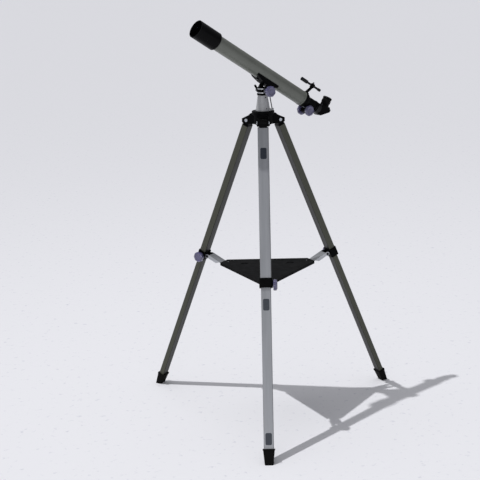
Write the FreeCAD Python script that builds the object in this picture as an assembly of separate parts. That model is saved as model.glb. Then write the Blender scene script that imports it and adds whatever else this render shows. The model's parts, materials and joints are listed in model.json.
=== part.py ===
import FreeCAD, Part
import math
import os

# A small refracting telescope on an alt-azimuth head and a folding three-legged stand.
# Millimetres and degrees. Origin: on the ground, under the stand's vertical axis. +Z is up.
# Leg 1 points along -Y, legs 2 and 3 follow it anticlockwise at 120 degrees.

# Clearances
pin_clearance = 0.05
free_clearance = 0.3
slide_clearance = 0.5
side_play = 0.4

# Stand
leg_count = 3
first_leg_azimuth = -90.0
pivot_height = 1240.0
pivot_radius = 67.0
foot_radius = 588.0
spread = math.degrees(math.atan2(foot_radius - pivot_radius, pivot_height))
leg_length = math.hypot(foot_radius - pivot_radius, pivot_height)
leg_sin = math.sin(math.radians(spread))
leg_cos = math.cos(math.radians(spread))

# Hub: a moulded centre with a forked arm for each leg
tongue_half_width = 16.5
tongue_radius = 15.0
tongue_gap = 1.5
arm_cheek = 6.2
arm_half_width = tongue_half_width + free_clearance + arm_cheek
arm_reach = 21.0
arm_depth = 14.0
arm_root = 20.0
hub_rise = 40.0
hub_drop = 22.0
hub_top = pivot_height + hub_rise
hub_bottom = pivot_height - hub_drop
hub_collar_radius = 46.0
hub_waist_radius = 40.0
hub_step_radius = 33.5
hub_base_radius = 27.5
hub_collar_height = 14.0
hub_step_height = 7.0
hub_edge_chamfer = 1.5
leg_bolt_radius = 4.0
leg_bolt_head_radius = 6.5
leg_bolt_head_thickness = 3.0
azimuth_bolt_radius = 6.0
azimuth_bolt_head_radius = 11.0
azimuth_bolt_head_thickness = 7.0

# Legs. Places along a leg are distances from its pivot bolt.
upper_width = 44.0
upper_depth = 28.0
upper_wall = 2.0
upper_start = 25.0
upper_end = 645.0
lower_width = upper_width - 2 * (upper_wall + slide_clearance)
lower_depth = upper_depth - 2 * (upper_wall + slide_clearance)
lower_wall = 1.8
leg_overlap = 125.0
lower_start = upper_end - leg_overlap
lower_end = leg_length - 27.0
corner_radius = 3.5
fitting_flange = 3.0
fitting_wall = 4.0
plug_end = 158.0
window_margin = 7.0
window_width = lower_width - 2 * window_margin
window_length = 46.0
window_corner = 6.0
window_back = 2.5
window_depth = 0.5
upper_window_middle = 129.0
lower_window_middles = (upper_end + 88.0, lower_end - 67.0)

# Collar at the end of each upper leg, with the eyes for the brace pin and the boss for the lock knob
collar_start = upper_end - 17.0
collar_end = upper_end + 21.0
collar_wall = 4.0
collar_boss_radius = 10.0
collar_boss_rise = 2.0
lock_place = upper_end + 10.0
lock_stem_radius = 4.0
brace_pin_place = upper_end - 5.0
brace_pin_depth = 30.0
brace_pin_radius = 3.0
brace_pin_head_radius = 5.0
brace_pin_head_thickness = 2.0
brace_eye_radius = 7.0
brace_eye_inner = 11.0

# Feet
boot_length = 30.0
boot_start = lower_end - boot_length
boot_reach = leg_length + 20.0
boot_top_width = 46.0
boot_top_depth = 31.0
boot_bottom_width = 30.0
boot_bottom_depth = 25.0
boot_corner = 4.0
boot_rim = 1.0
boot_rim_length = 6.0

# Braces and accessory tray
brace_width = 42.0
brace_sheet = 2.0
brace_flange = 14.0
brace_plate_rise = 9.5
brace_plate_start = 6.0
brace_end_radius = 9.0
brace_reach = 71.26
brace_pin_r = pivot_radius + brace_pin_place * leg_sin - brace_pin_depth * leg_cos
brace_pin_z = pivot_height - brace_pin_place * leg_cos - brace_pin_depth * leg_sin
tray_drop = 17.35
tray_top = brace_pin_z - tray_drop
tray_thickness = 3.0
tray_skirt = 12.0
tray_corner_radius = brace_pin_r - brace_reach
tray_corner_half_width = 28.0
tray_recess_radius = 16.0
tray_recess_depth = 1.5
tray_recess_share = 0.52
tongue_length = 44.0
tongue_inset = 3.0
tray_screw_radius = 3.0
tray_screw_inset = 22.0
tray_screw_head_radius = 9.0
tray_screw_head_thickness = 7.0
tray_screw_stand = 3.0
tray_screw_place = tray_corner_radius - tray_screw_inset
tray_hole_clearance = 2.0
tray_nut_radius = 7.0
tray_nut_height = 4.0

# Azimuth post and the clamped block on it
head_azimuth = 215.7
head_rise = 81.5
altitude_axis_height = hub_top + head_rise
post_bottom_radius = 28.5
post_top_radius = 20.0
post_top = altitude_axis_height - 18.5
post_wall = 6.0
post_crown = 14.0
post_flange = 1.5
post_flange_height = 6.0
azimuth_bolt_end = post_top - 21.0
block_half = 17.0
block_core_half = 12.0
block_corner = 3.0
block_top = altitude_axis_height + 13.5
plate_radius = 20.0
plate_thickness = 5.0
plate_chamfer = 0.8
lower_plate_bottom = altitude_axis_height - 10.5
upper_plate_bottom = altitude_axis_height + 5.5
altitude_bolt_radius = 4.0
altitude_bolt_end = 58.0
altitude_cap_radius = 6.0
altitude_cap_inner = 38.3
altitude_cap_outer = 41.0
altitude_wing_reach = 25.0
altitude_wing_half_width = 4.0
altitude_wing_thickness = 4.0
altitude_wing_lean = -58.0
post_screw_radius = 3.0
post_screw_turn = -34.0
post_screw_socket = 1.6
post_screw_heights = (hub_top + 10.3, post_top - 8.0)

# Azimuth clamp lever: a thin rod in a fork on the post's foot
azimuth_lever_angle = 124.3
azimuth_lever_place = post_bottom_radius + 11.5
azimuth_lever_height = hub_top + 7.0
azimuth_lever_top = post_top - 3.0
azimuth_lever_lean = 9.0
azimuth_lever_rod_radius = 2.0
azimuth_lever_eye = 4.0
azimuth_lever_ball = 3.2
fork_inner = 3.0
fork_outer = 6.0
fork_radius = 4.5

# Hand knobs: one moulding used on the head, the focuser and the leg collars
knob_radius = 22.0
knob_lobes = 8
knob_flute_radius = 5.0
knob_flute_depth = 2.2
knob_chamfer = 4.0
knob_back_chamfer = 2.0
knob_dish = 2.0
focus_knob_thickness = 12.0
lock_knob_thickness = 16.0
altitude_knob_thickness = 17.0
altitude_knob_back = 48.0
knob_stem_radius = 8.0

# Telescope. Tube frame: X forward along the tube, Z away from the head, origin on the altitude axis.
altitude = 32.2
tube_radius = 30.5
tube_wall = 1.2
saddle_rise = 31.5
tube_axis_height = tube_radius + saddle_rise
tube_rear = -192.0
tube_front = 352.0
shield_step = 6.7
shield_radius = tube_radius + shield_step
shield_wall = 2.0
shield_length = 105.0
shield_edge_round = 4.0
shield_front = tube_front + 46.0
shield_rim = 1.2
shield_rim_length = 3.0
cell_length = 30.0
cell_back = tube_front - 10.0
lens_radius = tube_radius - 0.5
lens_edge = 5.0
lens_bulge = 2.5
lens_back = tube_front + 5.0
lens_lip = 2.0
lens_ring_length = 4.0
end_ring_radius = tube_radius + 1.1
end_ring_length = 6.0

# Saddle: a cradle for the tube with two arms that turn on the altitude bolt
saddle_front = 69.0
saddle_rear = -45.0
arm_gap = plate_radius + 1.0
arm_thickness = 6.0
arm_half_length = 9.0
saddle_half_width = arm_gap + arm_thickness
saddle_floor = tube_axis_height - tube_radius - 6.5
saddle_wall_top = tube_axis_height - 16.0
saddle_screw_places = (46.0, -30.0)
saddle_screw_radius = 2.5
saddle_screw_head_radius = 4.5
saddle_screw_seat = saddle_floor + 4.0
saddle_nut_step = 2.0
washer_radius = 11.0
washer_thickness = 1.5

# Barrel fits: the eyepiece and the diagonal's nose have the same standard radius
barrel_radius = 15.8
nose_wall = 1.5

# Focuser
focuser_plug = 16.0
focuser_collar = 16.0
focuser_cone = 14.0
focuser_length = 76.0
drawtube_radius = barrel_radius + 4.2
drawtube_wall = 2.0
drawtube_inner_end = tube_rear + 42.0
drawtube_clearance = 0.3
focuser_body_radius = drawtube_radius + drawtube_clearance + 2.5
focuser_rim = 1.5
focuser_rim_length = 5.0
draw_collar_radius = barrel_radius + 7.2
draw_collar_start = tube_rear - 82.0
draw_collar_end = draw_collar_start - 18.0
pinion_place = tube_rear - 44.0
pinion_teeth = 13
gear_module = 1.0
gear_pressure_angle = 20.0
gear_addendum = 0.7
gear_dedendum = 1.1
gear_backlash = 0.2
pinion_radius = gear_module * pinion_teeth / 2
rack_room = 2.3
rack_pitch_depth = tube_radius - tube_wall - rack_room
rack_half_width = 4.0
rack_start = drawtube_inner_end - 2.0
rack_end = pinion_place - 20.0
rack_seat = 3.0
pinion_shaft_radius = 3.0
pinion_drop = rack_pitch_depth + pinion_radius
pinion_height = tube_axis_height - pinion_drop
pinion_box_half_length = 13.0
pinion_box_half_width = 14.0
pinion_box_depth = pinion_drop + 11.5
pinion_box_round = 6.0
pinion_box_root = 10.0
knob_top_depth = max(pinion_drop - knob_radius, 0.0)
focus_knob_gap = math.sqrt((focuser_body_radius + focuser_rim) ** 2 - knob_top_depth ** 2) + 0.1

# Star diagonal and eyepiece
nose_depth = 24.0
diagonal_front = draw_collar_end - 1.0
eyepiece_place = diagonal_front - 21.0
diagonal_half_width = barrel_radius + 3.2
diagonal_half_height = barrel_radius + 6.2
diagonal_back = diagonal_front - 48.0
diagonal_toe = 12.0
diagonal_edge_round = 2.5
holder_wall = 3.0
eyepiece_radius = barrel_radius + 2.2
eyepiece_bore = 8.0
eyepiece_seat = diagonal_half_height + 10.0
eyepiece_height = 32.0
eyepiece_barrel_depth = 20.0
thumb_radius = 2.0
thumb_head_radius = 5.0
thumb_head_length = 7.0
thumb_flutes = 10
thumb_flute_radius = 0.9
diagonal_screw_height = eyepiece_seat - 4.5
diagonal_screw_head = holder_wall + 5.2
drawtube_screw_turn = -45.0
mirror_half_width = barrel_radius - 2.8
mirror_half_length = 14.0
mirror_thickness = 2.0
mirror_inset = 3.5

# Finder
finder_gap = 39.5
finder_height = tube_axis_height + tube_radius + finder_gap
finder_front = tube_rear + 41.0
finder_front_length = 32.0
finder_rear = tube_rear - 69.0
finder_rear_length = 12.0
finder_front_radius = 7.5
finder_body_radius = 4.5
finder_rear_radius = 6.0
finder_cone = 5.0
finder_wall = 1.2
finder_ring_place = tube_rear - 24.0
finder_ring_radius = 9.5
finder_ring_bore = 6.5
finder_ring_length = 12.0
finder_foot_front = tube_rear - 2.0
finder_foot_rear = finder_foot_front - 13.0
finder_foot_half_width = 13.0
finder_foot_height = 3.0
finder_stalk_half_width = 3.5
finder_stalk_half_length = 6.0
finder_screw_angles = (90.0, 210.0, 330.0)
finder_screw_radius = 1.5
finder_screw_head_radius = 2.8
finder_screw_head_length = 4.0

X_AXIS = FreeCAD.Vector(1, 0, 0)
Y_AXIS = FreeCAD.Vector(0, 1, 0)
Z_AXIS = FreeCAD.Vector(0, 0, 1)
ORIGIN = FreeCAD.Vector(0, 0, 0)


def vec(x, y, z):
    return FreeCAD.Vector(x, y, z)


def box(x0, x1, y0, y1, z0, z1):
    return Part.makeBox(x1 - x0, y1 - y0, z1 - z0, vec(x0, y0, z0))


def rod(radius, start, end):
    """A cylinder between two points."""
    return Part.makeCylinder(radius, (end - start).Length, start, end - start)


def x_rod(radius, x0, x1, y, z):
    return rod(radius, vec(x0, y, z), vec(x1, y, z))


def y_rod(radius, y0, y1, x, z):
    return rod(radius, vec(x, y0, z), vec(x, y1, z))


def y_span(side, inner, outer):
    """Lowest and highest Y of a slab between two distances from the XZ plane, on one side of it."""
    return min(side * inner, side * outer), max(side * inner, side * outer)


def z_rod(radius, z0, z1, x=0.0, y=0.0):
    return rod(radius, vec(x, y, z0), vec(x, y, z1))


def x_cone(radius0, radius1, x0, x1, y, z):
    """A cone along X, from radius0 at x0 down to x1, where x1 is less than x0."""
    return Part.makeCone(radius0, radius1, x0 - x1, vec(x0, y, z), vec(-1, 0, 0))


def xz_prism(points, y0, y1):
    """A polygon in the XZ plane, carried along Y."""
    corners = [vec(x, y0, z) for x, z in points]
    face = Part.Face(Part.makePolygon(corners + corners[:1]))
    return face.extrude(vec(0, y1 - y0, 0))


def spin(points, centre, axis):
    """A polygon in the XZ plane, turned once about an axis."""
    corners = [vec(x, 0, z) for x, z in points]
    face = Part.Face(Part.makePolygon(corners + corners[:1]))
    return face.revolve(centre, axis, 360)


def rounded_outline(half_x, half_y, radius, z):
    """A rectangle with round corners, level at height z."""
    edges = []
    corners = ((1, 1, 0), (-1, 1, 90), (-1, -1, 180), (1, -1, 270))
    arcs = []
    for side_x, side_y, turn in corners:
        centre = vec(side_x * (half_x - radius), side_y * (half_y - radius), z)
        marks = []
        for step in (0, 45, 90):
            angle = math.radians(turn + step)
            marks.append(centre + vec(math.cos(angle), math.sin(angle), 0) * radius)
        arcs.append(marks)
    for index, marks in enumerate(arcs):
        edges.append(Part.Arc(*marks).toShape())
        edges.append(Part.makeLine(marks[2], arcs[(index + 1) % 4][0]))
    return Part.Wire(edges)


def rounded_bar(half_x, half_y, radius, z0, z1):
    face = Part.Face(rounded_outline(half_x, half_y, radius, z0))
    return face.extrude(vec(0, 0, z1 - z0))


def hexagon_bar(radius, z0, z1):
    corners = []
    for step in range(7):
        angle = math.radians(60 * step)
        corners.append(vec(radius * math.cos(angle), radius * math.sin(angle), z0))
    return Part.Face(Part.makePolygon(corners)).extrude(vec(0, 0, z1 - z0))


def moved(shape, x, y, z):
    copy = shape.copy()
    copy.translate(vec(x, y, z))
    return copy


def turned(shape, axis, angle, centre=ORIGIN):
    copy = shape.copy()
    copy.rotate(centre, axis, angle)
    return copy


def leg_azimuth(index):
    return first_leg_azimuth + 360.0 / leg_count * index


def on_leg(shape, index):
    """Leg frame (X outward, Y along the pivot bolt, -Z down the leg) to the stand's frame."""
    leaned = moved(turned(shape, Y_AXIS, -spread), pivot_radius, 0, pivot_height)
    return turned(leaned, Z_AXIS, leg_azimuth(index))


def at_azimuth(shape, index):
    """A shape made over the +X axis, turned to its leg."""
    return turned(shape, Z_AXIS, leg_azimuth(index))


def on_head(shape):
    return turned(shape, Z_AXIS, head_azimuth)


def on_tube(shape):
    """Tube frame to the stand's frame."""
    raised = moved(turned(shape, Y_AXIS, -altitude), 0, 0, altitude_axis_height)
    return on_head(raised)


def save(name, shape):
    shape.exportStep("parts/" + name + ".step")


def group(shapes):
    return Part.makeCompound(shapes)


def knob(thickness, bore, stem_radius, stem_length):
    """A fluted knob along Z with its back at z = 0 and its stem towards -Z."""
    crown = knob_radius - 1.5 * knob_chamfer
    profile = [
        (bore, 0),
        (knob_radius - knob_back_chamfer, 0),
        (knob_radius, knob_back_chamfer),
        (knob_radius, thickness - knob_chamfer),
        (crown, thickness),
        (crown - knob_chamfer, thickness - knob_dish),
        (bore, thickness - knob_dish),
    ]
    body = spin(profile, ORIGIN, Z_AXIS)
    for step in range(knob_lobes):
        angle = math.radians(360.0 / knob_lobes * step)
        reach = knob_radius + knob_flute_radius - knob_flute_depth
        flute = z_rod(
            knob_flute_radius,
            -1,
            thickness + 1,
            reach * math.cos(angle),
            reach * math.sin(angle),
        )
        body = body.cut(flute)
    stem = z_rod(stem_radius, -stem_length, 0)
    if bore > 0:
        stem = stem.cut(z_rod(bore, -stem_length - 1, 1))
    return body.fuse(stem).removeSplitter()


def make_hub():
    step_top = hub_bottom + 2 * hub_step_height
    collar_bottom = hub_top - hub_collar_height
    centre = z_rod(hub_collar_radius, collar_bottom, hub_top)
    centre = centre.fuse(z_rod(hub_waist_radius, step_top, collar_bottom))
    centre = centre.fuse(z_rod(hub_step_radius, hub_bottom + hub_step_height, step_top))
    centre = centre.fuse(z_rod(hub_base_radius, hub_bottom, hub_bottom + hub_step_height))
    top_edges = [edge for edge in centre.Edges if abs(edge.BoundBox.ZMin - hub_top) < 0.01]
    centre = centre.makeChamfer(hub_edge_chamfer, top_edges)
    outer = pivot_radius + arm_reach
    shoulder = hub_top - hub_collar_height + 4
    profile = [
        (arm_root, pivot_height - arm_depth),
        (outer - 8, pivot_height - arm_depth),
        (outer, pivot_height - arm_depth + 6),
        (outer, pivot_height + arm_depth / 2),
        (pivot_radius - 10, pivot_height + 1.5 * arm_depth),
        (hub_collar_radius, shoulder),
        (arm_root, shoulder),
    ]
    slot_half = tongue_half_width + free_clearance
    slot_radius = tongue_radius + tongue_gap
    slot_low = pivot_height - 30
    hub = centre
    for index in range(leg_count):
        hub = hub.fuse(at_azimuth(xz_prism(profile, -arm_half_width, arm_half_width), index))
    for index in range(leg_count):
        slot = y_rod(slot_radius, -slot_half, slot_half, pivot_radius, pivot_height)
        mouth = box(pivot_radius, outer + 1, -slot_half, slot_half, slot_low, pivot_height + slot_radius)
        under = box(pivot_radius - slot_radius, pivot_radius, -slot_half, slot_half, slot_low, pivot_height)
        bore = y_rod(leg_bolt_radius, -arm_half_width - 1, arm_half_width + 1, pivot_radius, pivot_height)
        hub = hub.cut(at_azimuth(slot.fuse([mouth, under, bore]), index))
    hub = hub.cut(z_rod(azimuth_bolt_radius, hub_bottom - 1, hub_top + 1))
    save("hub", hub.removeSplitter())


def make_leg_pivot_bolts():
    pieces = []
    for index in range(leg_count):
        bolt = y_rod(leg_bolt_radius, -arm_half_width, arm_half_width, pivot_radius, pivot_height)
        for side in (-1, 1):
            low, high = y_span(side, arm_half_width, arm_half_width + leg_bolt_head_thickness)
            bolt = bolt.fuse(y_rod(leg_bolt_head_radius, low, high, pivot_radius, pivot_height))
        pieces.append(at_azimuth(bolt.removeSplitter(), index))
    save("leg_pivot_bolts", group(pieces))


def make_azimuth_bolt():
    head = hexagon_bar(azimuth_bolt_head_radius, hub_bottom - azimuth_bolt_head_thickness, hub_bottom)
    shaft = z_rod(azimuth_bolt_radius, hub_bottom, azimuth_bolt_end)
    save("azimuth_bolt", head.fuse(shaft).removeSplitter())


def window(middle, depth0, depth1, grow=0.0):
    """A rounded pad on a leg's outer face, between two depths."""
    half_width = window_width / 2 + grow
    half_length = window_length / 2 + grow
    pad = rounded_bar(half_length, half_width, window_corner + grow, depth0, depth1)
    upright = turned(pad, Y_AXIS, 90)
    return moved(upright, 0, 0, -middle)


def make_top_fitting(index):
    half_depth = upper_depth / 2
    half_width = upper_width / 2
    tongue = y_rod(tongue_radius, -tongue_half_width, tongue_half_width, 0, 0)
    neck_half = half_depth - 1
    neck = box(-neck_half, neck_half, -tongue_half_width, tongue_half_width, -upper_start, 0)
    flange = rounded_bar(half_depth, half_width, corner_radius, -upper_start, fitting_flange - upper_start)
    plug_depth = half_depth - upper_wall
    plug_width = half_width - upper_wall
    plug = rounded_bar(plug_depth, plug_width, corner_radius - upper_wall, -plug_end, -upper_start)
    hollow_depth = plug_depth - fitting_wall
    hollow_width = plug_width - fitting_wall
    hollow_top = -upper_start - 2.5 * fitting_wall
    hollow = box(-hollow_depth, hollow_depth, -hollow_width, hollow_width, -plug_end - 1, hollow_top)
    pad = window(upper_window_middle, plug_depth - window_depth, half_depth)
    fitting = tongue.fuse([neck, flange, plug]).cut(hollow).fuse(pad)
    bolt_way = tongue_half_width + 1
    fitting = fitting.cut(y_rod(leg_bolt_radius + pin_clearance, -bolt_way, bolt_way, 0, 0))
    save("top_fitting_%d" % (index + 1), on_leg(fitting.removeSplitter(), index))


def make_upper_leg(index):
    half_depth = upper_depth / 2
    half_width = upper_width / 2
    outer = rounded_bar(half_depth, half_width, corner_radius, -upper_end, -upper_start)
    inner = rounded_bar(
        half_depth - upper_wall,
        half_width - upper_wall,
        corner_radius - upper_wall,
        -upper_end - 1,
        -upper_start + 1,
    )
    opening = window(upper_window_middle, half_depth - upper_wall - window_depth, half_depth + 1)
    save("upper_leg_%d" % (index + 1), on_leg(outer.cut(inner).cut(opening), index))


def make_collar(index):
    half_depth = upper_depth / 2
    half_width = upper_width / 2
    face = half_width + collar_wall
    outer = rounded_bar(
        half_depth + collar_wall, face, corner_radius + collar_wall - 1, -collar_end, -collar_start
    )
    seat = rounded_bar(half_depth, half_width, corner_radius, -upper_end, -collar_start + 1)
    guide = rounded_bar(
        lower_depth / 2 + slide_clearance,
        lower_width / 2 + slide_clearance,
        corner_radius,
        -collar_end - 1,
        -upper_end,
    )
    boss = y_rod(collar_boss_radius, face - 1, face + collar_boss_rise, 0, -lock_place)
    ears = []
    for side in (-1, 1):
        low, high = y_span(side, brace_eye_inner, brace_width / 2 - brace_sheet - side_play)
        eye = y_rod(brace_eye_radius, low, high, -brace_pin_depth, -brace_pin_place)
        web = box(
            -brace_pin_depth,
            1 - half_depth - collar_wall,
            low,
            high,
            -brace_pin_place - brace_eye_radius,
            brace_eye_radius - brace_pin_place,
        )
        ears.append(eye.fuse(web))
    collar = outer.cut(seat).cut(guide).fuse(boss).fuse(ears)
    collar = collar.cut(y_rod(brace_pin_radius, -half_width, half_width, -brace_pin_depth, -brace_pin_place))
    stem_way = lock_stem_radius + pin_clearance
    lock_bore = y_rod(stem_way, lower_width / 2 - 1, face + collar_boss_rise + 1, 0, -lock_place)
    collar = collar.cut(lock_bore).removeSplitter()
    pin_end = brace_width / 2 + free_clearance
    pin = y_rod(brace_pin_radius, -pin_end, pin_end, -brace_pin_depth, -brace_pin_place)
    for side in (-1, 1):
        low, high = y_span(side, pin_end, pin_end + brace_pin_head_thickness)
        pin = pin.fuse(y_rod(brace_pin_head_radius, low, high, -brace_pin_depth, -brace_pin_place))
    save("collar_%d" % (index + 1), on_leg(group([collar, pin.removeSplitter()]), index))


def make_lock_knob(index):
    face = upper_width / 2 + collar_wall + collar_boss_rise + 1
    tip = lower_width / 2 + free_clearance
    body = knob(lock_knob_thickness, 0, lock_stem_radius, face - tip)
    upright = moved(turned(body, X_AXIS, -90), 0, face, -lock_place)
    save("lock_knob_%d" % (index + 1), on_leg(upright, index))


def make_lower_leg(index):
    half_depth = lower_depth / 2
    half_width = lower_width / 2
    outer = rounded_bar(half_depth, half_width, corner_radius - 0.5, -lower_end, -lower_start)
    inner = rounded_bar(
        half_depth - lower_wall,
        half_width - lower_wall,
        corner_radius - lower_wall,
        -lower_end - 1,
        -lower_start + 1,
    )
    tube = outer.cut(inner)
    for middle in lower_window_middles:
        tube = tube.cut(window(middle, half_depth - lower_wall - window_depth, half_depth + 1))
    save("lower_leg_%d" % (index + 1), on_leg(tube, index))


def make_leg_inserts(index):
    half_depth = lower_depth / 2
    inside = half_depth - lower_wall
    pieces = []
    for middle in lower_window_middles:
        pad = window(middle, inside - 0.1, half_depth)
        back = window(middle, inside - 2, inside, window_back)
        pieces.append(pad.fuse(back).removeSplitter())
    save("leg_inserts_%d" % (index + 1), on_leg(group(pieces), index))


def make_foot(index):
    top = rounded_outline(boot_top_depth / 2, boot_top_width / 2, boot_corner, -boot_start)
    low = rounded_outline(boot_bottom_depth / 2, boot_bottom_width / 2, boot_corner, -boot_reach)
    boot = Part.makeLoft([top, low], True)
    rim = rounded_bar(
        boot_top_depth / 2 + boot_rim,
        boot_top_width / 2 + boot_rim,
        boot_corner + boot_rim / 2,
        -boot_start - boot_rim_length,
        -boot_start,
    )
    boot = boot.fuse(rim)
    socket = rounded_bar(
        lower_depth / 2, lower_width / 2, corner_radius - 0.5, -lower_end, -boot_start + 1
    )
    plug = rounded_bar(
        lower_depth / 2 - lower_wall,
        lower_width / 2 - lower_wall,
        corner_radius - lower_wall,
        -lower_end - 1,
        -boot_start,
    )
    foot = on_leg(boot.cut(socket).fuse(plug), index)
    wide = 2 * foot_radius
    underground = box(-wide, wide, -wide, wide, -2 * boot_length, 0)
    save("foot_%d" % (index + 1), foot.cut(underground).removeSplitter())


def make_brace(index):
    bend_r = tray_corner_radius + 4
    bend_z = tray_top - tray_thickness
    run = brace_pin_r - bend_r
    rise = brace_pin_z - bend_z
    slope = math.atan2(rise, run) + math.asin(brace_plate_rise / math.hypot(run, rise))

    def place(along, up):
        r = brace_pin_r - along * math.cos(slope) - up * math.sin(slope)
        z = brace_pin_z - along * math.sin(slope) + up * math.cos(slope)
        return r, z

    top = brace_plate_rise
    half = brace_width / 2
    bend_under = (bend_r + brace_sheet * math.tan(slope / 2), bend_z - brace_sheet)
    plate = xz_prism(
        [
            place(brace_plate_start, top),
            (bend_r, bend_z),
            (bend_r - 6, bend_z),
            (bend_r - 6, bend_z - brace_sheet),
            bend_under,
            place(brace_plate_start, top - brace_sheet),
        ],
        -half,
        half,
    )
    tongue_half = half - tongue_inset
    tongue_middle = bend_r - tongue_length + half
    tongue = box(
        tongue_middle - tongue_inset, bend_r - 5, -tongue_half, tongue_half, bend_z - brace_sheet, bend_z
    )
    tongue = tongue.fuse(
        z_rod(tongue_half, bend_z - brace_sheet, bend_z, tongue_middle - tongue_inset)
    )
    brace_length = run / math.cos(slope)
    low = top - brace_flange
    flange_points = [
        place(0, top - 0.5),
        place(0, low),
        place(brace_length - 24, low),
        place(brace_length - 10, top - brace_sheet),
        place(brace_length - 10, top),
        place(brace_plate_start, top),
    ]
    flanges = []
    for side in (-1, 1):
        y0, y1 = y_span(side, half - brace_sheet, half)
        flange = xz_prism(flange_points, y0, y1)
        flanges.append(flange.fuse(y_rod(brace_end_radius, y0, y1, brace_pin_r, brace_pin_z)))
    brace = plate.fuse([tongue] + flanges)
    brace = brace.cut(y_rod(brace_pin_radius + pin_clearance, -half - 1, half + 1, brace_pin_r, brace_pin_z))
    brace = brace.cut(z_rod(tray_screw_radius, bend_z - 10, bend_z + 1, tray_screw_place))
    stand = tray_thickness + 2 if index == 0 else tray_screw_stand
    under = bend_z - brace_sheet
    screw = z_rod(tray_screw_radius, under, bend_z + stand, tray_screw_place)
    head = z_rod(tray_screw_head_radius, under - tray_screw_head_thickness, under, tray_screw_place)
    screw = screw.fuse(head).removeSplitter()
    save("brace_%d" % (index + 1), at_azimuth(group([brace.removeSplitter(), screw]), index))


def make_tray():
    corners = []
    for index in range(leg_count):
        angle = math.radians(leg_azimuth(index))
        out = vec(math.cos(angle), math.sin(angle), 0)
        side = vec(-math.sin(angle), math.cos(angle), 0)
        for sign in (-1, 1):
            corners.append(out * tray_corner_radius + side * tray_corner_half_width * sign)
    outline = Part.makePolygon(corners + corners[:1])
    face = Part.Face(outline)
    slab = moved(face.extrude(vec(0, 0, tray_skirt)), 0, 0, tray_top - tray_skirt)
    inner = Part.Face(outline.makeOffset2D(-tray_thickness))
    hollow = moved(
        inner.extrude(vec(0, 0, tray_skirt - tray_thickness)), 0, 0, tray_top - tray_skirt
    )
    tray = slab.cut(hollow)
    bend_z = tray_top - tray_thickness
    gate_half = brace_width / 2 + 1
    gate_inner = tray_corner_radius - tray_thickness - 8
    gate_low = tray_top - tray_skirt - 1
    recess_place = tray_corner_radius * tray_recess_share
    for index in range(leg_count):
        gate = box(gate_inner, tray_corner_radius + 10, -gate_half, gate_half, gate_low, bend_z)
        clearance = 0 if index == 0 else tray_hole_clearance
        hole = z_rod(tray_screw_radius + clearance, bend_z - 1, tray_top + 1, tray_screw_place)
        recess = z_rod(tray_recess_radius, tray_top - tray_recess_depth, tray_top + 1, recess_place)
        tray = tray.cut(at_azimuth(gate.fuse([hole, recess]), index))
    save("tray", tray.removeSplitter())


def make_tray_nut():
    """The nut of the fixed tray screw, on top of the tray over brace 1."""
    nut = hexagon_bar(tray_nut_radius, tray_top, tray_top + tray_nut_height)
    nut = nut.cut(z_rod(tray_screw_radius, tray_top - 1, tray_top + tray_nut_height + 1))
    save("tray_nut", at_azimuth(moved(nut, tray_screw_place, 0, 0), 0))


def post_surface(height):
    """Radius of the post's cone at a height."""
    share = (height - hub_top) / (post_top - hub_top)
    return post_bottom_radius + (post_top_radius - post_bottom_radius) * share


def make_post():
    base = hub_top + free_clearance
    flange_top = base + post_flange_height
    outer = z_rod(post_bottom_radius + post_flange, base, flange_top)
    cone = Part.makeCone(post_bottom_radius, post_top_radius, post_top - flange_top, vec(0, 0, flange_top))
    hollow_top = post_top - post_crown
    cavity = Part.makeCone(
        post_bottom_radius - post_wall, post_top_radius - post_wall, hollow_top - base, vec(0, 0, base)
    )
    cavity = cavity.cut(z_rod(azimuth_bolt_radius + 5, base - 1, hollow_top))
    bore = z_rod(azimuth_bolt_radius + pin_clearance, base - 1, azimuth_bolt_end + 1)
    lug_top = azimuth_lever_height + 2
    lug = box(
        post_bottom_radius - 4, azimuth_lever_place - 5, -fork_outer, fork_outer, base, lug_top
    )
    fork_low = azimuth_lever_height - fork_radius
    forks = []
    for side in (-1, 1):
        low, high = y_span(side, fork_inner, fork_outer)
        fork = y_rod(fork_radius, low, high, azimuth_lever_place, azimuth_lever_height)
        arm = box(azimuth_lever_place - 8, azimuth_lever_place, low, high, fork_low, lug_top)
        forks.append(fork.fuse(arm))
    pin = y_rod(azimuth_lever_rod_radius, -fork_outer, fork_outer, azimuth_lever_place, azimuth_lever_height)
    lug = turned(lug.fuse(forks).fuse(pin), Z_AXIS, azimuth_lever_angle)
    post = outer.fuse(cone).cut(cavity).fuse(lug).cut(bore)
    for height in post_screw_heights:
        surface = post_surface(height)
        seat = x_rod(post_screw_radius, surface - 5, surface + 8, 0, height)
        post = post.cut(turned(seat, Z_AXIS, azimuth_lever_angle + post_screw_turn))
    save("post", on_head(post.removeSplitter()))


def make_post_screws():
    pieces = []
    for height in post_screw_heights:
        surface = post_surface(height)
        screw = x_rod(post_screw_radius, surface - 5, surface - 0.8, 0, height)
        socket = turned(hexagon_bar(post_screw_socket, 0, 3), Y_AXIS, 90)
        screw = screw.cut(moved(socket, surface - 3, 0, height))
        pieces.append(turned(screw, Z_AXIS, azimuth_lever_angle + post_screw_turn))
    save("post_screws", on_head(group(pieces)))


def make_friction_block():
    core = block_core_half
    half = block_half
    corner = block_corner
    lower_plate_top = lower_plate_bottom + plate_thickness
    upper_plate_top = upper_plate_bottom + plate_thickness
    block = rounded_bar(core, core, corner, post_top, block_top)
    block = block.fuse(rounded_bar(half, half, corner, post_top, lower_plate_bottom))
    block = block.fuse(rounded_bar(half, half, corner, lower_plate_top, upper_plate_bottom))
    block = block.fuse(rounded_bar(half - 1, half - 1, corner, upper_plate_top, block_top))
    bore = y_rod(altitude_bolt_radius + pin_clearance, -half - 1, half + 1, 0, altitude_axis_height)
    save("friction_block", on_head(block.cut(bore).removeSplitter()))


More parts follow.
